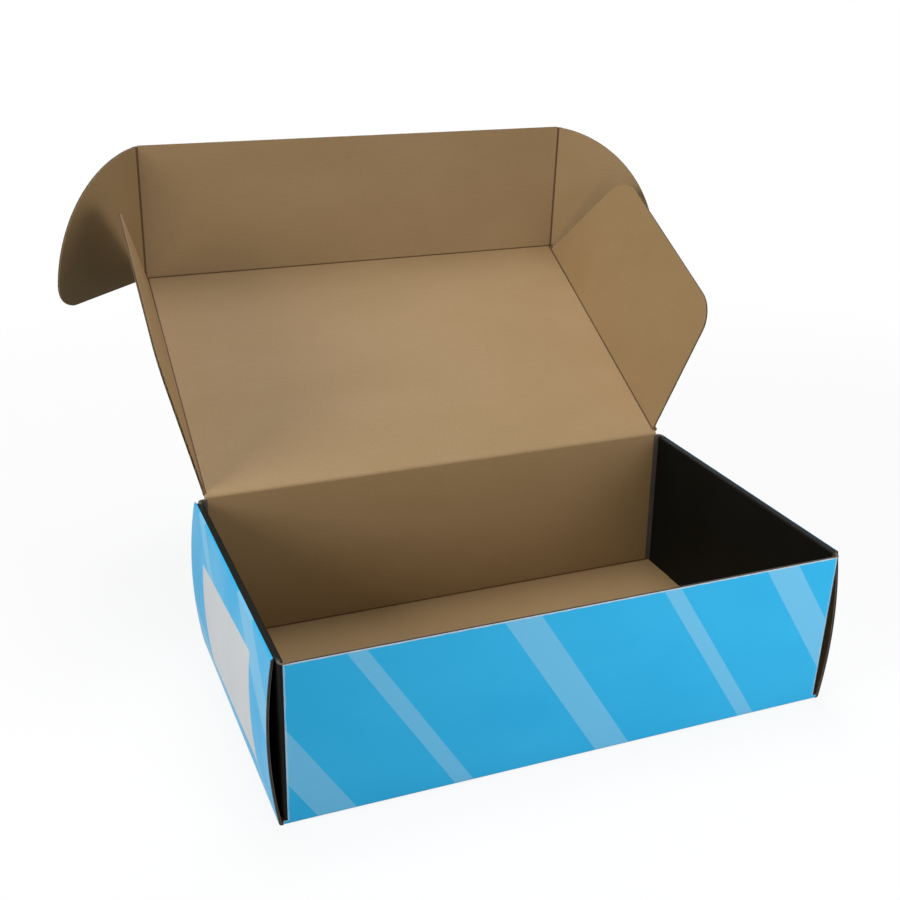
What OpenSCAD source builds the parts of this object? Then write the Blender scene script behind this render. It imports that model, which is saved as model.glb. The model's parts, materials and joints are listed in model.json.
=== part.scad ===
// Corrugated mailer box, standing open. One folded sheet makes the tray, whose side walls are
// rolled over double, and the lid with its tuck flap, side flaps and ears hangs on the back wall.
// Origin at the centre of the tray's underside, +X along the front, +Y to the back, +Z up.

/* [Tray] */
// Length of the tray between the folds of its side walls
tray_length = 336; // [260:1:420]
// Depth of the tray from its front fold to its back wall
tray_depth = 198; // [160:1:260]
// Height of the side walls
tray_height = 100; // [80:1:130]
// Thickness of the corrugated board
board = 1.5; // [1.2:0.1:2]
// Drop of the front wall's rim, along its slope, below the side walls' height
front_drop = 1; // [0:0.5:12]
// Lean of the front wall out of the vertical, in degrees
front_lean = 3; // [0:0.5:5]

/* [Side walls] */
// Bulge of the outer side wall at half its height
side_bow = 4.5; // [1:0.5:8]
// Setback of the outer side walls' ends from the front and back folds
side_setback = 0.5; // [0.3:0.1:4]
// Setback of the top strips' and inner walls' ends from the front and back folds
inner_setback = 3; // [2.5:0.5:8]
// Slack between the outer wall and the dust flaps at the rim
wall_slack = 0.7; // [0.2:0.1:2]
// Gap between the dust flaps and the inner wall
layer_gap = 0.15; // [0.1:0.05:0.5]
// Gap between the front and back dust flaps inside a side wall
dust_gap = 26; // [10:1:60]
// Drop of the dust flaps below the top strip
dust_drop = 4; // [3:0.5:15]
// Taper of a dust flap's top edge, from its fold to its free end
dust_taper = 10; // [5:1:20]
// Lift of the dust flaps off the floor
dust_lift = 2; // [1:0.5:6]
// Length of the locking tabs under the inner walls
tab_length = 38; // [20:1:60]
// Distance between the two tabs of a wall, centre to centre
tab_pitch = 96; // [70:1:120]
// Clearance around a tab in its floor slot
tab_clear = 0.4; // [0.2:0.1:1]

/* [Lid] */
// Angle of the open lid from shut, in degrees
lid_open = 152; // [120:1:170]
// Height of the lid's crease above the side walls
hinge_lift = 2; // [1.5:0.1:4]
// Clearance between the shut lid's tuck crease and the front rim
front_clear = 3.2; // [3:0.1:8]
// Clearance between a folded side flap and the inner wall
flap_clear = 0.9; // [0.6:0.1:3]
// Gap left by the crushed board at each crease
crease_gap = 0.4; // [0.3:0.05:0.6]

/* [Side flaps] */
// Fold of the left side flap out of the lid, in degrees
left_flap_fold = 75; // [50:1:100]
// Fold of the right side flap out of the lid, in degrees
right_flap_fold = 69; // [50:1:100]
// Clearance between a side flap's outer edge and the tray's height
flap_floor = 9; // [8:0.5:30]
// Start of a side flap along its crease, from the lid's hinge
flap_start = 4; // [3:0.5:12]
// Clearance between a side flap's far end and the front wall, with the lid shut
flap_front = 1; // [0.5:0.1:8]
// Slope of a side flap's near end, measured along its outer edge
near_slope = 30; // [10:1:45]
// Slope of a side flap's far end, measured along its outer edge
far_slope = 18; // [16:1:40]
// Width of the land that joins a side flap to its crease, up to the tuck flap
flap_land = 1.2; // [1:0.1:1.6]
// Corner radius of a side flap
flap_round = 23; // [8:1:30]

/* [Tuck flap] */
// Fold of the tuck flap out of the lid, in degrees
tuck_fold = 66; // [20:1:75]
// Clearance between the tuck flap's free edge and the tray's height
tuck_floor = 5; // [3:0.5:30]

/* [Ears] */
// Fold of the left ear out of the tuck flap, in degrees
left_ear_fold = 40; // [10:1:46]
// Fold of the right ear out of the tuck flap, in degrees
right_ear_fold = 43; // [10:1:46]
// Reach of an ear from its crease
ear_reach = 84; // [50:1:100]
// Radius of an ear's round outer edge
ear_radius = 89; // [80:1:120]
// Radius of an ear's tip
ear_tip = 13; // [6:1:20]
// Inset of the ears' creases from the ends of the tray
ear_inset = 6; // [5:0.1:9]
// Start of an ear along its crease, from the tuck flap's crease
ear_start = 2; // [1.5:0.5:8]
// Drop of an ear's top below the tuck flap's free edge
ear_drop = 0.5; // [0:0.5:8]

/* [Hidden] */
$fn = 96;
edge_r = board / 2;
front_height = tray_height - front_drop;
flap_width = tray_height - flap_floor;
tuck_height = tray_height - tuck_floor;
// Circle of the bowed outer wall, from fold to fold
bow_r = tray_height * tray_height / (8 * side_bow) + side_bow / 2;
bow_x = tray_length / 2 + side_bow - bow_r;
fold_x = bow_x + sqrt(bow_r * bow_r - pow(tray_height / 2 - board, 2)) - board;
// Layers of a double side wall, from the outside in
dust_x = tray_length / 2 - board - wall_slack;
inner_x = dust_x - 2 * board - layer_gap;
outer_span = tray_depth - 2 * side_setback;
inner_span = tray_depth - 2 * inner_setback;
corner_r = 2 * board;
dust_length = (tray_depth - dust_gap) / 2 - corner_r;
dust_top = tray_height - board - dust_drop;
// Creases of the lid
hinge_y = tray_depth / 2 - edge_r;
hinge_z = tray_height + hinge_lift;
flap_x = inner_x - flap_clear - edge_r;
ear_x = tray_length / 2 - ear_inset;
front_rim = tray_depth / 2 + (front_height - board) * sin(front_lean);
lid_depth = hinge_y + front_rim + front_clear + edge_r;
flap_far = hinge_y + front_rim - board - flap_front;
crease_cut = edge_r + crease_gap;
lid_edge = lid_depth - crease_cut;
back_height = hinge_z - crease_cut;

function unit(v) = v / norm(v);

function heading(v) = atan2(v[1], v[0]);

// Points of the arc that rounds corner b, between its neighbours a and c
function round_corner(a, b, c, r, steps = 16) =
    let (
        to_a = unit(a - b),
        to_c = unit(c - b),
        half = acos(to_a * to_c) / 2,
        centre = b + unit(to_a + to_c) * r / sin(half),
        start = heading(b + to_a * r / tan(half) - centre),
        swing = heading(b + to_c * r / tan(half) - centre) - start,
        turn = swing > 180 ? swing - 360 : swing < -180 ? swing + 360 : swing
    ) [for (i = [0 : steps]) centre + r * [cos(start + turn * i / steps), sin(start + turn * i / steps)]];

// Quarter of a fold, convex towards the given quadrant
module quarter_fold(r, quadrant) {
    intersection() {
        circle(r = r);
        rotate(90 * quadrant) square(r);
    }
}

// Straight run of a rounded crease edge, along Y
module crease_edge(start, end) {
    translate([0, start, 0]) rotate([-90, 0, 0]) cylinder(r = edge_r, h = end - start);
}

module sheet() {
    linear_extrude(board, center = true) children();
}

// Places shapes in the open lid: Y from its hinge, Z out of its inside face
module on_lid() {
    translate([0, hinge_y, hinge_z]) rotate([180 - lid_open, 0, 0]) children();
}

// Places shapes in the tuck flap: Y from its crease, Z out of its inside face
module on_tuck() {
    on_lid() translate([0, lid_depth, 0]) rotate([tuck_fold, 0, 0]) children();
}

// Folds a shape about the crease at one end of the lid or tuck flap
module at_end(side, crease_x, fold) {
    mirror([1 - side, 0, 0]) translate([crease_x, 0, 0]) rotate([0, -fold, 0]) children();
}

// Section of the bowed outer wall, with the fold at its foot and the one at its top
module outer_section() {
    intersection() {
        translate([bow_x, tray_height / 2]) difference() {
            circle(r = bow_r, $fn = 400);
            circle(r = bow_r - board, $fn = 400);
        }
        translate([fold_x - board, board])
            square([side_bow + 3 * board, tray_height - 2 * board]);
    }
    translate([fold_x, board]) quarter_fold(board, 3);
    translate([fold_x, tray_height - board]) quarter_fold(board, 0);
}

// Section of the top strip and the inner wall that hangs from it
module inner_section() {
    translate([inner_x + board, tray_height - board]) {
        quarter_fold(board, 1);
        square([fold_x - inner_x - board, board]);
    }
    translate([inner_x, board + layer_gap])
        square([board, tray_height - 2 * board - layer_gap]);
}

module side_wall() {
    rotate([90, 0, 0]) {
        linear_extrude(outer_span, center = true) outer_section();
        linear_extrude(inner_span, center = true) inner_section();
    }
    for (end = [-1, 1])
        translate([inner_x, (end * tab_pitch - tab_length) / 2, tab_clear])
            cube([board, tab_length, 2 * board]);
}

module floor_panel() {
    slot = board + 2 * tab_clear;
    difference() {
        translate([-fold_x, board - tray_depth / 2, 0])
            cube([2 * fold_x, tray_depth - 2 * board, board]);
        for (side = [0, 1], end = [-1, 1])
            mirror([side, 0, 0])
                translate([inner_x - tab_clear, (end * tab_pitch - tab_length) / 2 - tab_clear, -board])
                    cube([slot, tab_length + 2 * tab_clear, 3 * board]);
    }
}

// Rounded fold between the floor and an end wall, along the fold line on X
module floor_fold() {
    rotate([90, 0, 90]) linear_extrude(2 * dust_x, center = true) intersection() {
        circle(r = board);
        translate([-board, -board]) square([board, 2 * board]);
    }
}

// Outline of a dust flap, from its corner fold to its free end
module dust_outline() {
    polygon([
        [0, dust_lift],
        [dust_length, dust_lift],
        [dust_length, dust_top - board - dust_taper],
        [0, dust_top - board]
    ]);
}

// Upright wall on its fold line, with a dust flap folded back at each end
module end_wall(wall_height) {
    translate([corner_r - dust_x, -board, 0]) cube([2 * (dust_x - corner_r), board, wall_height]);
    for (side = [0, 1])
        mirror([side, 0, 0]) {
            translate([dust_x - corner_r, corner_r - board, 0])
                linear_extrude(wall_height) difference() {
                    quarter_fold(corner_r, 3);
                    circle(r = corner_r - board);
                }
            translate([dust_x - board, corner_r - board, 0])
                rotate([90, 0, 90]) linear_extrude(board) dust_outline();
        }
}

module tray() {
    color("steelblue") {
        floor_panel();
        for (side = [0, 1]) mirror([side, 0, 0]) side_wall();
        translate([0, board - tray_depth / 2, board]) {
            floor_fold();
            rotate([front_lean, 0, 0]) end_wall(front_height - board);
        }
        mirror([0, 1, 0]) translate([0, board - tray_depth / 2, board]) {
            floor_fold();
            end_wall(back_height - board);
        }
    }
}

module lid() {
    half = flap_x - crease_cut;
    color("tan") on_lid() {
        translate([half, 0, 0]) rotate([0, 0, 90]) crease_edge(0, 2 * half);
        translate([-half, 0, 0]) sheet() square([2 * half, lid_edge]);
    }
}

module tuck_flap() {
    half = ear_x - crease_cut;
    color("tan") on_tuck() {
        translate([half, 0, 0]) rotate([0, 0, 90]) crease_edge(0, 2 * half);
        translate([-half, 0, 0]) sheet() square([2 * half, tuck_height]);
    }
}

// Side flap outline: a trapezium with two round outer corners, on a narrow land along its crease
module flap_outline() {
    a = [flap_land, flap_start];
    b = [flap_width, flap_start + near_slope];
    c = [flap_width, flap_far - far_slope];
    d = [flap_land, flap_far];
    near_corner = round_corner(a, b, c, flap_round);
    far_corner = round_corner(b, c, d, flap_round);
    land = [[flap_land, lid_edge], [0, lid_edge], [0, flap_start]];
    polygon(concat([a], near_corner, far_corner, [d], land));
}

module side_flap(side, fold) {
    color("tan") on_lid() at_end(side, flap_x, fold) {
        crease_edge(flap_start, lid_edge);
        sheet() flap_outline();
    }
}

// Ear outline: a round outer edge from the tuck flap's free edge, down to a small round tip
module ear_outline() {
    top = tuck_height - ear_drop;
    centre = [ear_reach - ear_radius, top - sqrt(pow(ear_radius, 2) - pow(ear_reach - ear_radius, 2))];
    tip_y = ear_start + ear_tip;
    tip_x = centre[0] + sqrt(pow(ear_radius - ear_tip, 2) - pow(tip_y - centre[1], 2));
    tangent = centre + unit([tip_x, tip_y] - centre) * ear_radius;
    difference() {
        intersection() {
            translate(centre) circle(r = ear_radius, $fn = 240);
            translate([0, ear_start]) square([2 * ear_radius, top - ear_start]);
        }
        polygon([
            [tip_x, ear_start - ear_tip],
            [tip_x, ear_start],
            tangent,
            [2 * ear_radius, tangent[1]],
            [2 * ear_radius, ear_start - ear_tip]
        ]);
    }
    translate([tip_x, tip_y]) circle(r = ear_tip);
}

module ear(side, fold) {
    color("tan") on_tuck() at_end(side, ear_x, fold) {
        crease_edge(ear_start, tuck_height - ear_drop);
        sheet() ear_outline();
    }
}

module left_ear() { ear(0, left_ear_fold); }

module right_ear() { ear(1, right_ear_fold); }

module left_side_flap() { side_flap(0, left_flap_fold); }

module right_side_flap() { side_flap(1, right_flap_fold); }

tray();
lid();
tuck_flap();
left_ear();
right_ear();
left_side_flap();
right_side_flap();
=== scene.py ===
import json
import math

import bpy
from mathutils import Matrix, Vector


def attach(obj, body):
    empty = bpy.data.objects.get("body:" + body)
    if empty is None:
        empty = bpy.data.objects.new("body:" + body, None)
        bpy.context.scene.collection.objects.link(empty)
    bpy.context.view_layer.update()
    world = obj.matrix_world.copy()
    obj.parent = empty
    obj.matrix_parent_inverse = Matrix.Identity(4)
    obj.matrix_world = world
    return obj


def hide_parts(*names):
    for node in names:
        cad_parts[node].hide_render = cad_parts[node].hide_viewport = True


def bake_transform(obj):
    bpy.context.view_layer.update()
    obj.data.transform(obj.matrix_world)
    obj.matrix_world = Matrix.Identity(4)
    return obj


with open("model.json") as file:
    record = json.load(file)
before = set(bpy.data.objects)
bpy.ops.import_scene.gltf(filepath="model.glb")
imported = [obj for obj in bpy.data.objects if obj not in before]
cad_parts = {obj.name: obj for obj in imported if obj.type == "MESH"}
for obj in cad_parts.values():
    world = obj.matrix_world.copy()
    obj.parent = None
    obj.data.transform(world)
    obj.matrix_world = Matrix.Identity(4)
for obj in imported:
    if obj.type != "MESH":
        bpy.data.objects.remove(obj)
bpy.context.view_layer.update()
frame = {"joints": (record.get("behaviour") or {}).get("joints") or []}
scene = bpy.context.scene
joint = {row["name"]: row for row in frame["joints"]}
bpy.ops.object.select_all(action="DESELECT")

# the folded sheet, in metres and degrees
box = {
    "length": 0.336,
    "depth": 0.198,
    "height": 0.100,
    "board": 0.0015,
    "frontHeight": 0.099,
    "frontLean": 3.0,
    "sideBow": 0.0045,
    "sideSetback": 0.0005,
    "innerSetback": 0.003,
    "wallSlack": 0.0007,
    "layerGap": 0.00015,
    "creaseCut": 0.00115,
    "cornerFold": 0.003,
    "cornerFlat": 0.003,
    "foldRun": 0.0012,  # how far a floor fold reaches up its wall
    "foldSteps": 6,
    "lidLean": 28.0,
    "lidDepth": 0.206303,
    "tuckFold": 66.0,
    "tuckHeight": 0.095,
    "leftFlapFold": 75.0,
    "rightFlapFold": 69.0,
    "leftEarFold": 40.0,
    "rightEarFold": 43.0,
}
# corrugated board: two liners on a fluted medium
ply = {"liner": 0.00028, "medium": 0.00018, "pitch": 0.0033, "stepsPerFlute": 8, "recess": 0.0006,
       "lap": 0.0001, "overhang": 0.001}
sides = ((-1, "left"), (1, "right"))
smoothAngle = math.radians(35)
faceOn = 0.7  # a face counts as inside or outside past this share of the sheet's normal
tiny = 1e-5

board = box["board"]
half = board / 2
hinge = Vector(joint["lid_hinge"]["pos_m"])
crease = Vector(joint["tuck_fold"]["pos_m"])
flapX = joint["right_side_flap_fold"]["pos_m"][0]
earX = joint["right_ear_fold"]["pos_m"][0]
dustX = box["length"] / 2 - board - box["wallSlack"]
innerX = dustX - 2 * board - box["layerGap"]
bowR = box["height"] ** 2 / (8 * box["sideBow"]) + box["sideBow"] / 2
bowX = box["length"] / 2 + box["sideBow"] - bowR
foldX = bowX + math.sqrt(bowR**2 - (box["height"] / 2 - board) ** 2) - board
backHeight = hinge.z - box["creaseCut"]


def rgb(r, g, b):
    # screen values to linear light
    return [((c / 255 + 0.055) / 1.055) ** 2.4 if c > 10 else c / 255 / 12.92 for c in (r, g, b)] + [1.0]


def leaveEdit():
    bpy.ops.object.mode_set(mode="OBJECT")


def pickNone():
    if bpy.context.object and bpy.context.object.mode != "OBJECT":
        leaveEdit()
    bpy.ops.object.select_all(action="DESELECT")


def pickOnly(obj):
    pickNone()
    obj.select_set(True)
    bpy.context.view_layer.objects.active = obj


def editAll(obj):
    pickOnly(obj)
    bpy.ops.object.mode_set(mode="EDIT")
    bpy.ops.mesh.select_mode(type="VERT")
    bpy.ops.mesh.select_all(action="SELECT")


def pickVerts(obj, rule):
    # leaves the mesh in edit mode with the vertices that the rule takes
    editAll(obj)
    bpy.ops.mesh.select_all(action="DESELECT")
    leaveEdit()
    for v in obj.data.vertices:
        v.select = rule(v.co)
    bpy.ops.object.mode_set(mode="EDIT")


def faceOut(obj):
    editAll(obj)
    bpy.ops.mesh.normals_make_consistent(inside=False)
    leaveEdit()


def smooth(obj):
    pickOnly(obj)
    bpy.ops.object.shade_smooth_by_angle(angle=smoothAngle)


def applyModifier(obj, kind, **settings):
    pickOnly(obj)
    modifier = obj.modifiers.new(kind.lower(), kind)
    for key, value in settings.items():
        setattr(modifier, key, value)
    bpy.ops.object.modifier_apply(modifier=modifier.name)


def copyOf(obj, name):
    pickOnly(obj)
    bpy.ops.object.duplicate()
    twin = bpy.context.object
    twin.name = name
    return twin


def joinAll(parts, name):
    pickNone()
    for part in parts:
        part.select_set(True)
    bpy.context.view_layer.objects.active = parts[0]
    bpy.ops.object.join()
    parts[0].name = name
    parts[0].data.name = name
    return parts[0]


def paint(obj, choices):
    # one material per face
    used = []
    for material in choices:
        if material not in used:
            used.append(material)
    obj.data.materials.clear()
    for material in used:
        obj.data.materials.append(material)
    for face, material in zip(obj.data.polygons, choices):
        face.material_index = used.index(material)


def giveUv(obj, place):
    # flutes run along U, in metres
    layer = obj.data.uv_layers.new(name="boardUV")
    for loop in obj.data.loops:
        layer.data[loop.index].uv = place(obj.data.vertices[loop.vertex_index].co)


def settle(obj, body, node):
    pickOnly(obj)
    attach(obj, body)
    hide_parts(node)


print("frame loaded")

# shader helpers


def addNode(tree, kind, settings=None, **sockets):
    # sockets go by name, or by number as i0, i1 and so on
    node = tree.nodes.new(kind)
    for key, value in (settings or {}).items():
        setattr(node, key, value)
    for key, value in sockets.items():
        socket = node.inputs[int(key[1:])] if key[0] == "i" and key[1:].isdigit() else node.inputs[key]
        if isinstance(value, bpy.types.NodeSocket):
            tree.links.new(value, socket)
        else:
            socket.default_value = value
    return node


def maths(tree, operation, a, b=0.0):
    return addNode(tree, "ShaderNodeMath", {"operation": operation}, i0=a, i1=b).outputs[0]


def stretched(tree, vector, scale, detail, roughness=0.6, offset=(0, 0, 0)):
    # noise pulled out along the flutes
    place = addNode(tree, "ShaderNodeMapping", None, Vector=vector, Scale=scale, Location=offset).outputs[0]
    settings = {"noise_dimensions": "2D"}
    return addNode(
        tree, "ShaderNodeTexNoise", settings, Vector=place, Scale=1.0, Detail=detail, Roughness=roughness
    ).outputs["Fac"]


def mixColor(tree, factor, a, b):
    return addNode(tree, "ShaderNodeMix", {"data_type": "RGBA"}, i0=factor, i6=a, i7=b).outputs[2]


def remap(tree, value, low, high, toLow=0.0, toHigh=1.0):
    return addNode(
        tree, "ShaderNodeMapRange", {"clamp": True}, i0=value, i1=low, i2=high, i3=toLow, i4=toHigh
    ).outputs[0]


def newGroup(name, outputs):
    group = bpy.data.node_groups.new(name, "ShaderNodeTree")
    group.interface.new_socket(name="Vector", in_out="INPUT", socket_type="NodeSocketVector")
    for word in outputs:
        group.interface.new_socket(name=word, in_out="OUTPUT", socket_type="NodeSocketFloat")
    vector = group.nodes.new("NodeGroupInput").outputs[0]
    return group, vector, group.nodes.new("NodeGroupOutput")


def useGroup(tree, group, vector):
    return addNode(tree, "ShaderNodeGroup", {"node_tree": group}, Vector=vector).outputs


# paper fibres: long streaks, short fibres, cloudy tone and specks
fibreGroup, vector, leave = newGroup("paperFibre", ("Streak", "Fibre", "Cloud", "Speck"))
dots = stretched(fibreGroup, vector, (520, 980, 1), 1.0, 0.5, (1, 9, 0))
for word, value in (
    ("Streak", stretched(fibreGroup, vector, (60, 900, 1), 3.0)),
    ("Fibre", stretched(fibreGroup, vector, (620, 1900, 1), 4.0, 0.7, (3, 5, 0))),
    ("Cloud", stretched(fibreGroup, vector, (13, 21, 1), 3.0, 0.55, (7, 2, 0))),
    ("Speck", remap(fibreGroup, dots, 0.70, 0.80)),
):
    fibreGroup.links.new(value, leave.inputs[word])

# faint washboard of the flutes under a liner
fluteGroup, vector, leave = newGroup("washboard", ("Ridge",))
across = addNode(fluteGroup, "ShaderNodeSeparateXYZ", None, Vector=vector).outputs[1]
wave = maths(fluteGroup, "SINE", maths(fluteGroup, "MULTIPLY", across, 2 * math.pi / ply["pitch"]))
patchy = stretched(fluteGroup, vector, (9, 30, 1), 2.0, 0.5, (4, 4, 0))
fade = remap(fluteGroup, patchy, 0.35, 0.65, 0.35, 1.0)
fluteGroup.links.new(maths(fluteGroup, "MULTIPLY", wave, fade), leave.inputs["Ridge"])


def newMaterial(name):
    material = bpy.data.materials.new(name)
    material.use_nodes = True
    tree = material.node_tree
    return material, tree, tree.nodes["Principled BSDF"]


def paperBase(tree):
    # the board's own UV, its fibres and its flutes
    uv = addNode(tree, "ShaderNodeUVMap", {"uv_map": "boardUV"}).outputs[0]
    return uv, useGroup(tree, fibreGroup, uv), useGroup(tree, fluteGroup, uv)["Ridge"]


def paperFinish(tree, shader, tone, roughness, height, strength, depth, shine):
    bump = addNode(tree, "ShaderNodeBump", None, Strength=strength, Distance=depth, Height=height)
    tree.links.new(tone, shader.inputs["Base Color"])
    tree.links.new(roughness, shader.inputs["Roughness"])
    tree.links.new(bump.outputs[0], shader.inputs["Normal"])
    shader.inputs["Specular IOR Level"].default_value = shine


def ridged(tree, fibre, fibreShare, ridge, ridgeShare):
    return maths(
        tree, "ADD", maths(tree, "MULTIPLY", fibre, fibreShare), maths(tree, "MULTIPLY", ridge, ridgeShare)
    )


kraft = {
    # liner: the ridge share darkens the liner along its washboard flutes as painted shade
    "liner": {"base": rgb(151, 123, 82), "dark": rgb(112, 87, 53), "light": rgb(161, 133, 95), "ridge": 0.03},
    # crease: painted shade in the inner corners of folds, with some darkening of crushed board
    "crease": {"base": rgb(98, 66, 30), "dark": rgb(70, 45, 20), "light": rgb(116, 82, 44), "ridge": 0.0},
    "edge": {"base": rgb(138, 110, 74), "dark": rgb(84, 62, 38), "light": rgb(164, 136, 98), "ridge": 0.0},
    # core: a dark tone for the cut flutes' hollows, painted shade on a solid core
    "core": {"base": rgb(74, 57, 38), "dark": rgb(40, 29, 18), "light": rgb(110, 86, 58), "ridge": 0.0},
    "paleRim": {"base": rgb(196, 204, 208), "dark": rgb(120, 128, 132), "light": rgb(216, 222, 224),
                "ridge": 0.0},
    # darkRim: the black liner's own cut edge, and painted shade on kraft cut ends and in the dust flaps'
    # bends
    "darkRim": {"base": rgb(70, 66, 60), "dark": rgb(34, 32, 30), "light": rgb(104, 98, 90), "ridge": 0.0},
}
kraftFinish = {"cloud": 0.4, "streak": 0.10, "fibre": 0.20, "speck": 0.25, "fibreBump": 0.5, "ridgeBump": 0.2,
               "roughness": (0.58, 0.72), "bump": 0.35, "depth": 0.00012, "shine": 0.5}


def kraftMaterial(name, look):
    material, tree, shader = newMaterial(name)
    paper, ridge = paperBase(tree)[1:]
    finish = kraftFinish
    cloud = remap(tree, paper["Cloud"], 0.32, 0.68, 0.0, finish["cloud"])
    tone = mixColor(tree, cloud, look["base"], look["light"])
    for share in (
        remap(tree, paper["Streak"], 0.46, 0.74, 0.0, finish["streak"]),
        remap(tree, paper["Fibre"], 0.45, 0.75, 0.0, finish["fibre"]),
        maths(tree, "MULTIPLY", paper["Speck"], finish["speck"]),
        # darker along the washboard's flutes: painted shade of their troughs
        remap(tree, ridge, -1.0, 1.0, 0.0, look["ridge"]),
    ):
        tone = mixColor(tree, share, tone, look["dark"])
    height = ridged(tree, paper["Fibre"], finish["fibreBump"], ridge, finish["ridgeBump"])
    roughness = remap(tree, paper["Fibre"], 0.3, 0.7, *finish["roughness"])
    paperFinish(tree, shader, tone, roughness, height, finish["bump"], finish["depth"], finish["shine"])
    return material


kraftLiner = kraftMaterial("kraft_liner", kraft["liner"])
# the crease material carries painted shade of the folds
creaseShade = kraftMaterial("kraft_crease", kraft["crease"])
kraftEdge = kraftMaterial("kraft_edge", kraft["edge"])
# the core material carries painted shade of the cut flutes
coreFluteShade = kraftMaterial("kraft_core", kraft["core"])
paperEdge = kraftMaterial("printed_paper_edge", kraft["paleRim"])
# the dark edge material carries painted shade of cut ends, with the black liner's own edge
edgeWithPaintedShade = kraftMaterial("black_paper_edge", kraft["darkRim"])

# printed liner: flat ink with a faint sheen
ink = {
    "blue": rgb(42, 178, 230),
    "deep": rgb(34, 170, 224),
    "band": rgb(106, 190, 231),
    "black": rgb(6, 7, 5),
    "soot": rgb(11, 12, 10),
    "white": rgb(206, 209, 211),
}
inkFinish = {"cloud": 0.55, "fibre": 0.10, "fibreBump": 0.15, "ridgeBump": 0.3, "bump": 0.2, "depth": 0.0001}
softEdge = 0.0002  # half the blur of a printed edge
# slanted bands: middle along the slant and width, in metres
wide, narrow = 0.018, 0.009
bands = {
    "slant": 58.0,
    "rows": [(-0.168, wide), (-0.107, narrow), (-0.030, wide),
             (0.046, narrow), (0.107, wide), (0.185, narrow)],
}
label = {"middle": (0.047, -0.0015, 0), "size": (0.066, 0.121), "tilt": -3.6}
# ink rubbed off along the front wall's rim and its upright folds
wear = {"rim": 0.0006, "rimAmount": 0.8, "fold": dustX - box["cornerFold"] + 0.0006, "foldWidth": 0.0006,
        "foldSoft": 0.0004, "foldAmount": 0.5, "rough": 0.0002}


def insideOf(tree, value, limit, soft=softEdge, amount=1.0):
    return remap(tree, value, limit + soft, limit - soft, 0.0, amount)


def bandMask(tree, uv):
    turn = (0, 0, math.radians(90 - bands["slant"]))
    slanted = addNode(tree, "ShaderNodeMapping", None, Vector=uv, Rotation=turn).outputs[0]
    along = addNode(tree, "ShaderNodeSeparateXYZ", None, Vector=slanted).outputs[0]
    mask = 0.0
    for middle, width in bands["rows"]:
        off = maths(tree, "ABSOLUTE", maths(tree, "SUBTRACT", along, middle))
        mask = maths(tree, "MAXIMUM", insideOf(tree, off, width / 2), mask)
    return mask


def labelMask(tree, uv):
    settings = {"operation": "SUBTRACT"}
    moved = addNode(tree, "ShaderNodeVectorMath", settings, i0=uv, i1=label["middle"]).outputs[0]
    turn = (0, 0, math.radians(label["tilt"]))
    straight = addNode(tree, "ShaderNodeMapping", None, Vector=moved, Rotation=turn).outputs[0]
    split = addNode(tree, "ShaderNodeSeparateXYZ", None, Vector=straight)
    mask = 1.0
    for axis, width in enumerate(label["size"]):
        off = maths(tree, "ABSOLUTE", split.outputs[axis])
        mask = maths(tree, "MULTIPLY", insideOf(tree, off, width / 2), mask)
    return mask


def wearMask(tree, uv):
    split = addNode(tree, "ShaderNodeSeparateXYZ", None, Vector=uv)
    noise = stretched(tree, uv, (150, 150, 1), 3.0, 0.6, (2, 2, 0))
    rough = remap(tree, noise, 0.3, 0.7, -wear["rough"], wear["rough"])
    rim = insideOf(tree, maths(tree, "ADD", split.outputs[1], rough), wear["rim"], amount=wear["rimAmount"])
    fromMiddle = maths(tree, "ABSOLUTE", split.outputs[0])
    off = maths(tree, "ABSOLUTE", maths(tree, "SUBTRACT", fromMiddle, wear["fold"]))
    fold = insideOf(
        tree, maths(tree, "ADD", off, rough), wear["foldWidth"], wear["foldSoft"], wear["foldAmount"]
    )
    return maths(tree, "MAXIMUM", rim, fold)


def printMaterial(name, fill, shade, layers=(), roughness=(0.36, 0.48), shine=0.25):
    # layers are pairs of a mask and its colour, from the bottom up
    material, tree, shader = newMaterial(name)
    uv, paper, ridge = paperBase(tree)
    tone = mixColor(tree, remap(tree, paper["Cloud"], 0.3, 0.7, 0.0, inkFinish["cloud"]), fill, shade)
    for mask, color in layers:
        tone = mixColor(tree, mask(tree, uv), tone, color)
    tone = mixColor(tree, remap(tree, paper["Fibre"], 0.5, 0.8, 0.0, inkFinish["fibre"]), tone, shade)
    height = ridged(tree, paper["Fibre"], inkFinish["fibreBump"], ridge, inkFinish["ridgeBump"])
    paperFinish(tree, shader, tone, remap(tree, paper["Cloud"], 0.3, 0.7, *roughness), height,
                inkFinish["bump"], inkFinish["depth"], shine)
    return material


banded = (bandMask, ink["band"])
plainPrint = printMaterial("blue_print_plain", ink["blue"], ink["deep"])
bluePrint = printMaterial("blue_print", ink["blue"], ink["deep"], [banded])
labelPrint = printMaterial("blue_print_label", ink["blue"], ink["deep"], [banded, (labelMask, ink["white"])])
frontPrint = printMaterial("blue_print_front", ink["blue"], ink["deep"], [banded, (wearMask, ink["white"])])
blackPrint = printMaterial("black_print", ink["black"], ink["soot"], roughness=(0.5, 0.6), shine=0.10)
print("materials made")

# swept sheets: an edge is pulled along the fold path, layer by layer


def arc(centre, radius, start, end, steps):
    # points round a fold, in degrees
    angles = [math.radians(start + (end - start) * i / steps) for i in range(steps + 1)]
    return [(centre[0] + radius * math.cos(a), centre[1] + radius * math.sin(a)) for a in angles]


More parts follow.
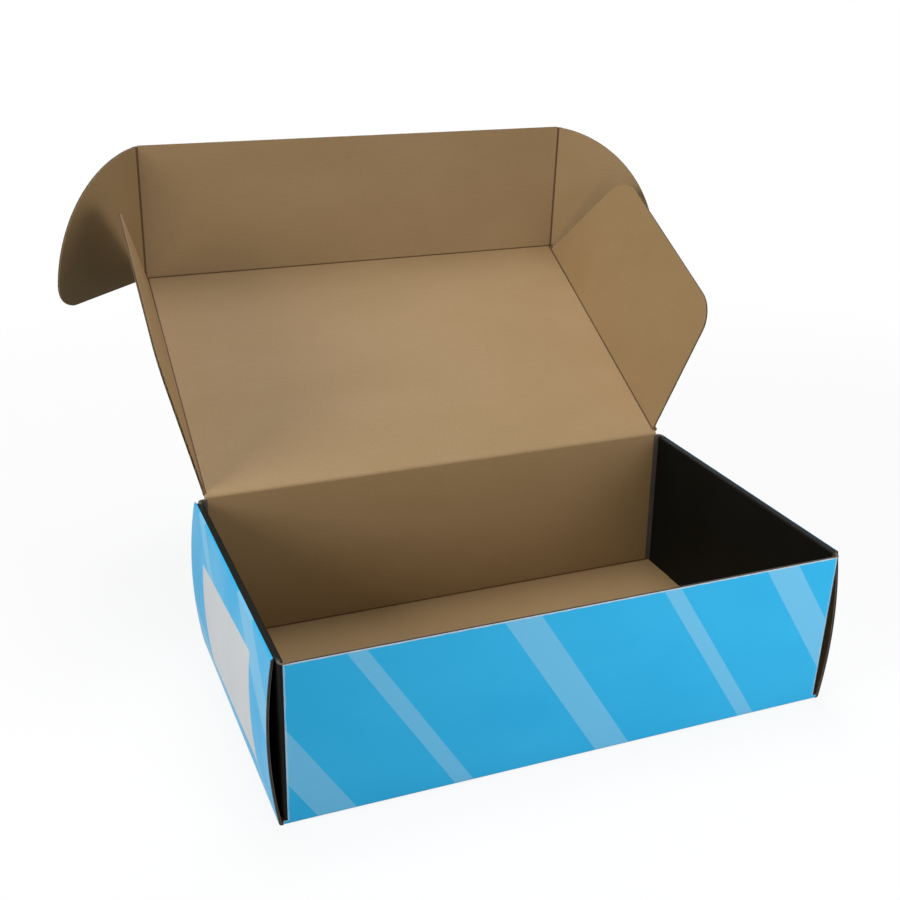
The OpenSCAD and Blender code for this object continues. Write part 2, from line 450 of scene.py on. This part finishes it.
def outward(path):
    # unit normal at each point, print side out, and how much a corner stretches it
    rows = []
    for i, p in enumerate(path):
        ways = []
        for a, b in ((path[max(i - 1, 0)], p), (p, path[min(i + 1, len(path) - 1)])):
            run = Vector((b[0] - a[0], b[1] - a[1]))
            if run.length > 1e-9:
                ways.append(run.normalized())
        way = (ways[0] + ways[-1]).normalized()
        rows.append((Vector((way.y, -way.x)), 1 / max(0.5, way.dot(ways[0]))))
    return rows


def nearest(path, a, b):
    # length along the path and the segment's normal
    best = (math.inf, 0.0, None)
    gone = 0.0
    for p, q in zip(path, path[1:]):
        run = Vector((q[0] - p[0], q[1] - p[1]))
        t = min(1.0, max(0.0, Vector((a - p[0], b - p[1])).dot(run) / run.length_squared))
        off = (Vector((a, b)) - Vector(p) - run * t).length
        if off < best[0]:
            best = (off, gone + run.length * t, Vector((run.y, -run.x)).normalized())
        gone += run.length
    return best[1:]


def pullEdge(name, ends, steps, thickness):
    # an edge between two ends, pulled step by step and thickened
    pickNone()
    bpy.ops.mesh.primitive_plane_add(size=1)
    sheet = bpy.context.object
    sheet.name = name
    pickVerts(sheet, lambda co: co.y > 0)
    bpy.ops.mesh.delete(type="VERT")
    leaveEdit()
    for v, end in zip(sheet.data.vertices, ends):
        v.co = end
    editAll(sheet)
    for step in steps:
        bpy.ops.mesh.extrude_region_move(TRANSFORM_OT_translate={"value": step})
    leaveEdit()
    applyModifier(sheet, "SOLIDIFY", thickness=thickness, offset=0.0)
    editAll(sheet)
    bpy.ops.mesh.remove_doubles(threshold=1e-7)
    leaveEdit()
    faceOut(sheet)
    return sheet


def pullSheet(name, path, span, toBox, thickness):
    places = [toBox(a, b, 0) for a, b in path]
    steps = [q - p for p, q in zip(places, places[1:])]
    return pullEdge(name, [toBox(*path[0], cross) for cross in span], steps, thickness)


def foldedBoard(name, path, span, sweep, choose, fluteAcross, cutEnds, start=0.0, cutter=None):
    # print liner, core and kraft liner along one path
    # cutEnds: the path's two ends and its sides, 1 where the core stands back from a cut
    toBox, toPath = sweep
    normals = outward(path)
    liner = ply["liner"]
    parts = []
    for layer, off, thick in (
        ("print", half - liner / 2, liner),
        ("core", 0.0, board - 2 * liner),
        ("kraft", liner / 2 - half, liner),
    ):
        line = [(p[0] + n.x * off * k, p[1] + n.y * off * k) for p, (n, k) in zip(path, normals)]
        inset = ply["recess"] if layer == "core" else 0.0
        for end, beside, isCut in ((0, 1, cutEnds[0]), (-1, -2, cutEnds[1])):
            if inset and isCut:
                run = Vector(line[beside]) - Vector(line[end])
                line[end] = tuple(Vector(line[end]) + run.normalized() * inset)
        inset *= cutEnds[2]
        part = pullSheet(name + "_" + layer, line, (span[0] + inset, span[1] - inset), toBox, thick)
        if cutter:
            applyModifier(part, "BOOLEAN", object=cutter, operation="DIFFERENCE", solver="EXACT")
        choices = []
        for face in part.data.polygons:
            length, n = nearest(path, *toPath(face.center)[:2])
            choices.append(choose(layer, n.dot(Vector(toPath(face.normal)[:2])), length))
        paint(part, choices)

        def place(co):
            a, b, cross = toPath(co)
            length = start + nearest(path, a, b)[0]
            return (cross, length) if fluteAcross else (length, cross)

        giveUv(part, place)
        parts.append(part)
    whole = joinAll(parts, name)
    smooth(whole)
    return whole


# front wall, floor and back wall in one strip
lean = math.radians(box["frontLean"])
floorY = box["depth"] / 2 - board
foldRun = box["foldRun"]
wallHalf = dustX - box["cornerFold"]
flatHalf = wallHalf - box["cornerFlat"]


def frontPoint(up):
    # a point on the leaning front wall, from its floor fold
    return (-floorY - half * math.cos(lean) - up * math.sin(lean),
            board - half * math.sin(lean) + up * math.cos(lean))


frontRun = box["frontHeight"] - board
frontPath = [frontPoint(frontRun), frontPoint(foldRun)]
floorPath = (
    [frontPoint(foldRun)]
    + arc((-floorY, board), half, 180 + box["frontLean"], 270, box["foldSteps"])
    + arc((floorY, board), half, 270, 360, box["foldSteps"])
    + [(floorY + half, board + foldRun)]
)
backPath = [(floorY + half, board + foldRun), (floorY + half, backHeight)]
floorRun = sum((Vector(q) - Vector(p)).length for p, q in zip(floorPath, floorPath[1:]))
backRun = frontRun + floorRun - 2 * foldRun
wall = {"bowSteps": 14, "foldSteps": 5, "tabLength": 0.038, "tabPitch": 0.096, "tabClear": 0.0004,
        "innerStart": 0.11, "tabStart": 0.22, "endBand": 0.005, "leanShare": 0.9}


def wallFaces(outside, cut):
    def choose(layer, facing, length):
        if layer == "print":
            return outside if facing > faceOn else paperEdge
        return kraftLiner if layer == "kraft" and facing < -faceOn else cut
    return choose


# the front wall's cut edges take the dark edge, painted shade of the cut flutes
frontFaces = wallFaces(frontPrint, edgeWithPaintedShade)
# the back wall's cut edges take the dark core, painted shade of the cut flutes
backFaces = wallFaces(bluePrint, coreFluteShade)


def floorFaces(layer, facing, length):
    # a dark line where the end walls rise: painted shade in the fold's inner corner, with some darkening of
    # crushed board
    if layer == "kraft" and facing < -faceOn and not foldRun < length < floorRun - foldRun:
        return creaseShade
    return backFaces(layer, facing, length)


def slotCutter():
    blocks = []
    size = (board + 2 * wall["tabClear"], wall["tabLength"] + 2 * wall["tabClear"], 3 * board, 1)
    for side in (-1, 1):
        for end in (-1, 1):
            pickNone()
            bpy.ops.mesh.primitive_cube_add(size=1)
            place = Matrix.Translation((side * (innerX + half), end * wall["tabPitch"] / 2, half))
            bpy.context.object.data.transform(place @ Matrix.Diagonal(size))
            blocks.append(bpy.context.object)
    return joinAll(blocks, "slot_cutter")


def stripToBox(a, b, cross):
    return Vector((cross, a, b))


def boxToStrip(v):
    return v[1], v[2], v[0]


strip = (stripToBox, boxToStrip)
flatSpan = (-flatHalf, flatHalf)
cutter = slotCutter()
trayPieces = [
    foldedBoard("tray_front_wall", frontPath, flatSpan, strip, frontFaces, True, (1, 0, 0)),
    foldedBoard("tray_floor", floorPath, (-dustX, dustX), strip, floorFaces, True, (0, 0, 0),
                frontRun - foldRun, cutter),
    foldedBoard("tray_back_wall", backPath, flatSpan, strip, backFaces, True, (0, 1, 0), backRun + foldRun),
]
bpy.data.objects.remove(cutter)
print("front, floor and back folded")

# rolled side walls
bowSpan = math.degrees(math.asin((box["height"] / 2 - board) / bowR))
outerHalf = box["depth"] / 2 - box["sideSetback"]
innerHalf = box["depth"] / 2 - box["innerSetback"]
outerPath = (
    [(dustX, half)]
    + arc((foldX, board), half, 270, 360, wall["foldSteps"])
    + arc((bowX, box["height"] / 2), bowR - half, -bowSpan, bowSpan, wall["bowSteps"])[1:-1]
    + arc((foldX, box["height"] - board), half, 0, 90, wall["foldSteps"])
)
innerPath = (
    [(foldX, box["height"] - half)]
    + arc((innerX + board, box["height"] - board), half, 90, 180, wall["foldSteps"])
    + [(innerX + half, box["height"] / 2), (innerX + half, board + box["layerGap"])]
)
tabPath = [innerPath[-1], (innerX + half, wall["tabClear"])]


def sideSweep(side):
    def toBox(a, b, cross):
        return Vector((side * a, cross, b))

    def toPath(v):
        return side * v[0], v[2], v[1]

    return toBox, toPath


def outerFaces(outside):
    def choose(layer, facing, length):
        if layer == "print" and facing > faceOn:
            return outside
        # cut ends and core edges take the dark edge: painted shade
        return kraftLiner if layer == "kraft" and facing < -faceOn else edgeWithPaintedShade
    return choose


def innerFaces(layer, facing, length):
    if layer == "kraft":
        return kraftLiner if facing < -faceOn else kraftEdge
    # print edges and the core take the dark edge: the black liner's own edge with painted shade
    return blackPrint if layer == "print" and facing > faceOn else edgeWithPaintedShade


def leanEnd(inner):
    # the front end follows the lean of the front wall, and fades out over the top strip
    for v in inner.data.vertices:
        if v.co.y < wall["endBand"] - innerHalf:
            share = min(1.0, max(0.0, (foldX - abs(v.co.x)) / (foldX - innerX - board)))
            v.co.y -= share * max(0.0, v.co.z - board) * math.tan(lean) * wall["leanShare"]


for side, word in sides:
    sweep = sideSweep(side)
    outside = labelPrint if word == "left" else bluePrint
    outer = foldedBoard("tray_" + word + "_outer_wall", outerPath, (-outerHalf, outerHalf), sweep,
                        outerFaces(outside), False, (0, 0, 1))
    inner = foldedBoard("tray_" + word + "_inner_wall", innerPath, (-innerHalf, innerHalf), sweep,
                        innerFaces, False, (0, 1, 1), wall["innerStart"])
    parts = [inner]
    for end in (-1, 1):
        middle = end * wall["tabPitch"] / 2
        span = (middle - wall["tabLength"] / 2, middle + wall["tabLength"] / 2)
        parts.append(
            foldedBoard("tab", tabPath, span, sweep, innerFaces, False, (0, 1, 1), wall["tabStart"])
        )
    inner = joinAll(parts, inner.name)
    leanEnd(inner)
    trayPieces += [outer, inner]
print("side walls rolled")

# corner folds with the dust flaps that stand inside the side walls
dust = {"length": 0.083, "top": 0.093, "taper": 0.010, "bendEnd": 0.004, "shoulder": 0.0055,
        "blueShare": 0.12}
bend = box["cornerFold"] - half
bendRun = bend * math.pi / 2
# in the wall's own frame: along the wall, then into the tray
dustPath = (
    [(flatHalf, -half)]
    + arc((wallHalf, box["cornerFold"] - board), bend, 270, 360, box["foldSteps"])
    + [(dustX - half, dust[key]) for key in ("bendEnd", "shoulder", "length")]
)


def dustFaces(outside):
    blueEnd = box["cornerFlat"] + bendRun * dust["blueShare"]
    foldEnd = box["cornerFlat"] + bendRun + dust["bendEnd"]

    def choose(facing, length):
        if facing > faceOn:
            return outside if length < blueEnd else blackPrint
        # inside the bend the kraft is darkened as painted shade of the fold, and the cut edges carry painted
        # shade too
        if facing < -faceOn:
            return edgeWithPaintedShade if length < foldEnd else kraftLiner
        return coreFluteShade if length < blueEnd else edgeWithPaintedShade
    return choose


def dustFlap(name, side, wallTop, choose, run, place):
    def toBox(a, b, cross):
        return Vector((side * a, b, cross))

    sheet = pullSheet(name, dustPath, (foldRun, wallTop - board), toBox, board)
    between = (dust["bendEnd"] + dust["shoulder"]) / 2
    upper = box["height"] / 2
    pickVerts(sheet, lambda co: co.y > between and co.z > upper)
    bpy.ops.transform.translate(value=(0, 0, dust["top"] - wallTop))
    pickVerts(sheet, lambda co: co.y > dust["length"] / 2 and co.z > upper)
    bpy.ops.transform.translate(value=(0, 0, -dust["taper"]))
    leaveEdit()
    choices = []
    for face in sheet.data.polygons:
        length, n = nearest(dustPath, side * face.center.x, face.center.y)
        choices.append(choose(n.x * side * face.normal.x + n.y * face.normal.y, length))
    paint(sheet, choices)
    giveUv(sheet, lambda co: (side * (flatHalf + nearest(dustPath, side * co.x, co.y)[0]), run(co.z)))
    sheet.data.transform(place)
    faceOut(sheet)
    smooth(sheet)
    return sheet


wallFoot = Matrix.Translation((0, board - box["depth"] / 2, board))
frontPlace = wallFoot @ Matrix.Rotation(lean, 4, "X")
backPlace = Matrix.Diagonal((1, -1, 1, 1)) @ wallFoot
for end, wallTop, outside, run, place in (
    ("front", box["frontHeight"], frontPrint, lambda z: frontRun - z, frontPlace),
    ("back", backHeight, bluePrint, lambda z: backRun + z, backPlace),
):
    for side, word in sides:
        name = "tray_" + end + "_" + word + "_dust_flap"
        trayPieces.append(dustFlap(name, side, wallTop, dustFaces(outside), run, place))
print("dust flaps folded")

# flat panels: an outline cut from a sheet, two liners on a fluted medium
panel = {"cutBack": 0.0014, "fromAxis": 0.0008}


def cutTrapezium(name, nearLeft, nearRight, farLeft, farRight):
    pickNone()
    bpy.ops.mesh.primitive_plane_add(size=2)
    cut = bpy.context.object
    cut.name = name
    for v in cut.data.vertices:
        left, right = (farLeft, farRight) if v.co.y > 0 else (nearLeft, nearRight)
        v.co = (right if v.co.x > 0 else left) + (0.0,)
    return cut


def cutRectangle(name, x, y):
    near = panel["fromAxis"]
    return cutTrapezium(name, (-x, near), (x, near), (-x, y), (x, y))


def roundCorner(cut, corner, reach, segments=12):
    pickVerts(cut, lambda co: (co.xy - Vector(corner)).length < tiny)
    bpy.ops.mesh.bevel(offset=reach, segments=segments, affect="VERTICES", clamp_overlap=False)
    leaveEdit()


def thicken(source, name, low, high):
    part = copyOf(source, name)
    editAll(part)
    bpy.ops.transform.translate(value=(0, 0, low))
    bpy.ops.mesh.extrude_region_move(TRANSFORM_OT_translate={"value": (0, 0, high - low)})
    leaveEdit()
    faceOut(part)
    return part


def waveSheet(name, xs, ys):
    # the fluted medium, wider than its panel at both ends
    rows = int((max(ys) - min(ys)) / ply["pitch"] * ply["stepsPerFlute"])
    pickNone()
    bpy.ops.mesh.primitive_grid_add(x_subdivisions=1, y_subdivisions=rows, size=2)
    medium = bpy.context.object
    medium.name = name
    swing = (board - 2 * ply["liner"] - ply["medium"]) / 2
    for v in medium.data.vertices:
        x = min(xs) - ply["overhang"] if v.co.x < 0 else max(xs) + ply["overhang"]
        y = min(ys) + (v.co.y + 1) / 2 * (max(ys) - min(ys))
        v.co = (x, y, swing * math.sin(2 * math.pi * y / ply["pitch"]))
    applyModifier(medium, "SOLIDIFY", thickness=ply["medium"], offset=0.0)
    faceOut(medium)
    return medium


def fluteBoard(name, cut, outside, rim, place, mirrored=False):
    inner = half - ply["liner"]
    front = thicken(cut, name, inner, half)
    back = thicken(cut, name + "_back", -half, -inner)
    block = thicken(cut, name + "_block", -inner - ply["lap"], inner + ply["lap"])
    xs, ys = ([v.co[axis] for v in cut.data.vertices] for axis in (0, 1))
    medium = waveSheet(name + "_medium", xs, ys)
    applyModifier(medium, "BOOLEAN", object=block, operation="INTERSECT", solver="EXACT")
    for scrap in (block, cut):
        bpy.data.objects.remove(scrap)
    whole = joinAll([front, back, medium], name)
    choices = []
    for face in whole.data.polygons:
        z = face.center.z
        if z > half - tiny:
            choices.append(kraftLiner)
        elif z < tiny - half:
            choices.append(outside)
        else:
            choices.append(rim if z < tiny - inner else kraftEdge)
    paint(whole, choices)
    giveUv(whole, lambda co: (co.x, co.y))
    whole.data.transform(place)
    if mirrored:
        editAll(whole)
        bpy.ops.mesh.flip_normals()
        leaveEdit()
    return whole


lidPlace = Matrix.Translation(hinge) @ Matrix.Rotation(math.radians(box["lidLean"]), 4, "X")
tuckTurn = Matrix.Rotation(math.radians(box["tuckFold"]), 4, "X")
tuckPlace = lidPlace @ Matrix.Translation((0, box["lidDepth"], 0)) @ tuckTurn


def endPlace(base, side, x, fold):
    turn = Matrix.Translation((x, 0, 0)) @ Matrix.Rotation(math.radians(-fold), 4, "Y")
    return base @ Matrix.Diagonal((side, 1, 1, 1)) @ turn


flapPlace = {word: endPlace(lidPlace, side, flapX, box[word + "FlapFold"]) for side, word in sides}
earPlace = {word: endPlace(tuckPlace, side, earX, box[word + "EarFold"]) for side, word in sides}
lidCut = cutRectangle("lid_cut", flapX - panel["cutBack"], box["lidDepth"] - panel["cutBack"])
lidBoard = fluteBoard("lid_board", lidCut, bluePrint, paperEdge, lidPlace)
tuckCut = cutRectangle("tuck_cut", earX - panel["cutBack"], box["tuckHeight"])
# the black panels' rims take the dark edge: the black liner's own edge with painted shade
tuckBoard = fluteBoard("tuck_board", tuckCut, blackPrint, edgeWithPaintedShade, tuckPlace)
settle(lidBoard, "lid", "lid")
settle(tuckBoard, "tuck_flap", "tuck_flap")
print("lid and tuck flap cut")

flap = {"width": 0.091, "start": 0.004, "far": 0.2009, "nearSlope": 0.030, "farSlope": 0.018, "round": 0.023}


def tangentReach(a, b, c, radius):
    one = (Vector(a) - Vector(b)).normalized()
    two = (Vector(c) - Vector(b)).normalized()
    return radius / math.tan(math.acos(one.dot(two)) / 2)


def cutFlap(name):
    near = (flap["width"], flap["start"] + flap["nearSlope"])
    far = (flap["width"], flap["far"] - flap["farSlope"])
    low = (panel["fromAxis"], flap["start"])
    high = (panel["fromAxis"], flap["far"])
    cut = cutTrapezium(name, low, near, high, far)
    roundCorner(cut, near, tangentReach(low, near, far, flap["round"]))
    roundCorner(cut, far, tangentReach(near, far, high, flap["round"]))
    return cut


ear = {"reach": 0.084, "radius": 0.089, "tip": 0.0145, "start": 0.0001, "drop": 0.0005, "steps": 240,
       "tipFrom": 0.07, "tipSpare": 0.002, "tipSteps": 14}
earTop = box["tuckHeight"] - ear["drop"]


def cutEar(name):
    # a disc cut off at the crease, the top and the bottom, with a round tip
    start = ear["start"]
    centreX = ear["reach"] - ear["radius"]
    centreY = earTop - math.sqrt(ear["radius"] ** 2 - centreX**2)
    pickNone()
    bpy.ops.mesh.primitive_circle_add(vertices=ear["steps"], radius=ear["radius"], fill_type="NGON")
    cut = bpy.context.object
    cut.name = name
    cut.data.transform(Matrix.Translation((centreX, centreY, 0)))
    for place, way in (
        ((panel["fromAxis"], 0, 0), (-1, 0, 0)),
        ((0, earTop, 0), (0, 1, 0)),
        ((0, start, 0), (0, -1, 0)),
    ):
        editAll(cut)
        bpy.ops.mesh.bisect(plane_co=place, plane_no=way, clear_outer=True)
        leaveEdit()
    tipTop = start + ear["tip"] + ear["tipSpare"]
    tipLow = start + 1e-4  # keeps the corner itself
    pickVerts(cut, lambda co: co.x > ear["tipFrom"] and tipLow < co.y < tipTop)
    bpy.ops.mesh.dissolve_verts()
    leaveEdit()
    corner = Vector((centreX + math.sqrt(ear["radius"] ** 2 - (start - centreY) ** 2), start))
    found = min(cut.data.vertices, key=lambda v: (v.co.xy - corner).length).co.xy
    roundCorner(cut, (found.x, found.y), ear["tip"], ear["tipSteps"])
    return cut


for side, word in sides:
    mirrored = side < 0
    flapCut = cutFlap(word + "_flap_cut")
    # side flaps and ears take the same dark rim: the black liner's own edge with painted shade
    flapBoard = fluteBoard(
        word + "_side_flap_board", flapCut, blackPrint, edgeWithPaintedShade, flapPlace[word], mirrored
    )
    settle(flapBoard, word + "_side_flap", word + "_side_flap")
    earCut = cutEar(word + "_ear_cut")
    earBoard = fluteBoard(word + "_ear_board", earCut, blackPrint, edgeWithPaintedShade, earPlace[word], mirrored)
    settle(earBoard, word + "_ear", word + "_ear")
print("side flaps and ears cut")

# crushed creases that join the panels, built as curved strips where the panels stand
crush = {"thickness": 0.0009, "softThickness": 0.0014, "reach": 0.0027, "bend": 0.0009, "outset": 0.00025,
         "steps": 8, "blendReach": 1.4, "over": 0.0004, "flapEnd": 0.0016, "earEnd": 0.0002,
         "insideShare": 0.2}


def creaseStrip(name, origin, along, span, ways, insides, finish, soft=False):
    # a soft fold is flush with its panels, a hard one is a sunk line
    toParent, toChild = ways
    outset = 0.0 if soft else crush["outset"]
    outs = [-way.normalized() * outset for way in insides]
    begin = toParent * crush["bend"] + outs[0]
    middle = outs[0] + outs[1]
    close = toChild * crush["bend"] + outs[1]
    points = [toParent * crush["reach"] + outs[0]]
    for i in range(crush["steps"] + 1):
        t = i / crush["steps"]
        points.append(begin * (1 - t) ** 2 + middle * (2 * t * (1 - t)) + close * t**2)
    points.append(toChild * crush["reach"] + outs[1])
    ends = [origin + points[0] + along * cross for cross in span]
    steps = [q - p for p, q in zip(points, points[1:])]
    sheet = pullEdge(name, ends, steps, crush["softThickness" if soft else "thickness"])
    inward = insides[0] + insides[1]
    inside, outside = finish
    shares = [face.normal.dot(inward) for face in sheet.data.polygons]
    paint(sheet, [inside if share > crush["insideShare"] else outside for share in shares])
    giveUv(sheet, lambda co: ((co - origin).dot(along), (co - origin).dot(toChild)))
    smooth(sheet)
    nearEnd, farEnd = (tuple(origin + way * crush["bend"] * crush["blendReach"]) for way in ways)
    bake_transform(sheet)
    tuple(nearEnd)
    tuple(farEnd)


def turned(place, x, y, z):
    return (place.to_3x3() @ Vector((x, y, z))).normalized()


acrossX = Vector((1, 0, 0))
lidUp, tuckUp = turned(lidPlace, 0, 1, 0), turned(tuckPlace, 0, 1, 0)
lidFace, tuckFace = turned(lidPlace, 0, 0, 1), turned(tuckPlace, 0, 0, 1)
blueCrease = (kraftLiner, plainPrint)
# the hard creases' inside faces are painted shade of the fold
darkCrease = (creaseShade, blackPrint)
lidReach, tuckReach = flapX + crush["over"], earX + crush["over"]
creaseStrip("lid_crease", hinge, acrossX, (-lidReach, lidReach), (Vector((0, 0, -1)), lidUp),
            (Vector((0, -1, 0)), lidFace), blueCrease, True)
creaseStrip("tuck_crease", crease, acrossX, (-tuckReach, tuckReach), (-lidUp, tuckUp),
            (lidFace, tuckFace), darkCrease)
flapSpan = (crush["flapEnd"], box["lidDepth"] - crush["flapEnd"])
for side, word in sides:
    creaseStrip(word + "_side_flap_crease", hinge + acrossX * side * flapX, lidUp, flapSpan,
                (turned(lidPlace, -side, 0, 0), turned(flapPlace[word], 1, 0, 0)),
                (lidFace, turned(flapPlace[word], 0, 0, 1)), darkCrease)
    creaseStrip(word + "_ear_crease", crease + acrossX * side * earX, tuckUp, (crush["earEnd"], earTop),
                (turned(tuckPlace, -side, 0, 0), turned(earPlace[word], 1, 0, 0)),
                (tuckFace, turned(earPlace[word], 0, 0, 1)), darkCrease)
print("creases bent")

for piece in trayPieces:
    settle(piece, "tray", "tray")

# white studio floor, soft lamps and the photo's camera
studio = {"floor": 14.0, "drop": 0.0004, "world": 0.03, "glow": (0.88, 1.0), "reach": (0.45, 1.0),
          "bounce": rgb(150, 150, 150), "card": rgb(243, 243, 243), "roughness": 0.9}
lamps = {
    "left_softbox": {"place": (-1.16, -0.28, 0.62), "target": (0, 0.05, 0.12), "size": 0.5, "power": 10.0},
    "front_softbox": {"place": (0.26, -0.62, 0.22), "target": (0.02, -0.08, 0.05), "size": 0.4, "power": 2.8},
    "back_softbox": {"place": (0.4, 1.5, 0.6), "target": (0, 0.1, 0.12), "size": 0.6, "power": 5.0},
    "top_softbox": {"place": (0.1, 0.25, 1.45), "target": (0, 0.1, 0.1), "size": 0.8, "power": 13.0},
}
shot = {
    "place": (-0.28167, -0.61656, 0.42232),
    "forward": (0.34348, 0.86111, -0.37485),
    "upward": (0.1301, 0.35166, 0.92704),
    "sensor": 36.0,
    "focalPixels": 1243.51,
    "pixels": 900,
    "clip": 0.01,
}


def seenRays(tree):
    # 1 where the camera looks, straight, by reflection or through something clear
    rays = addNode(tree, "ShaderNodeLightPath").outputs
    seen = maths(tree, "MAXIMUM", rays["Is Camera Ray"], rays["Is Glossy Ray"])
    return maths(tree, "MAXIMUM", seen, rays["Is Transmission Ray"])


pickNone()
bpy.ops.mesh.primitive_plane_add(size=studio["floor"])
floor = bpy.context.object
floor.name = "studio_floor"
floor.data.transform(Matrix.Translation((0, 0, -studio["drop"])))
floorPaint, tree, shader = newMaterial("studio_white")
shader.inputs["Base Color"].default_value = studio["bounce"]
shader.inputs["Roughness"].default_value = studio["roughness"]
card = addNode(tree, "ShaderNodeBsdfDiffuse", None, Color=studio["card"]).outputs[0]
glow = addNode(tree, "ShaderNodeEmission", None, Color=(1, 1, 1, 1), Strength=1.0).outputs[0]
spot = addNode(tree, "ShaderNodeTexCoord").outputs["Object"]
around = addNode(tree, "ShaderNodeVectorMath", {"operation": "LENGTH"}, i0=spot).outputs["Value"]
pale = remap(tree, around, *studio["reach"], *studio["glow"])
lit = addNode(tree, "ShaderNodeMixShader", None, i0=pale, i1=card, i2=glow).outputs[0]
shown = addNode(tree, "ShaderNodeMixShader", None, i0=seenRays(tree), i1=shader.outputs[0], i2=lit).outputs[0]
tree.links.new(shown, tree.nodes["Material Output"].inputs["Surface"])
floor.data.materials.append(floorPaint)

backdrop = bpy.data.worlds.new("studio")
scene.world = backdrop
backdrop.use_nodes = True
tree = backdrop.node_tree
background = tree.nodes["Background"]
background.inputs["Color"].default_value = (1, 1, 1, 1)
strength = remap(tree, seenRays(tree), 0.0, 1.0, studio["world"], 1.0)
tree.links.new(strength, background.inputs["Strength"])

for name, row in lamps.items():
    lamp = bpy.data.lights.new(name, "AREA")
    lamp.shape = "SQUARE"
    lamp.size = row["size"]
    lamp.energy = row["power"]
    softbox = bpy.data.objects.new(name, lamp)
    scene.collection.objects.link(softbox)
    softbox.location = row["place"]
    aim = Vector(row["target"]) - Vector(row["place"])
    softbox.rotation_euler = aim.to_track_quat("-Z", "Y").to_euler()

camera = bpy.data.cameras.new("photo_camera")
camera.sensor_fit = "HORIZONTAL"
camera.sensor_width = shot["sensor"]
camera.lens = shot["sensor"] * shot["focalPixels"] / shot["pixels"]
camera.clip_start = shot["clip"]
eye = bpy.data.objects.new("photo_camera", camera)
scene.collection.objects.link(eye)
forward = Vector(shot["forward"]).normalized()
rightward = forward.cross(Vector(shot["upward"])).normalized()
upward = rightward.cross(forward)
turn = Matrix((rightward, upward, -forward)).transposed().to_4x4()
eye.matrix_world = Matrix.Translation(shot["place"]) @ turn
scene.camera = eye
scene.view_settings.view_transform = "Standard"
print("studio set")

bpy.context.view_layer.update()
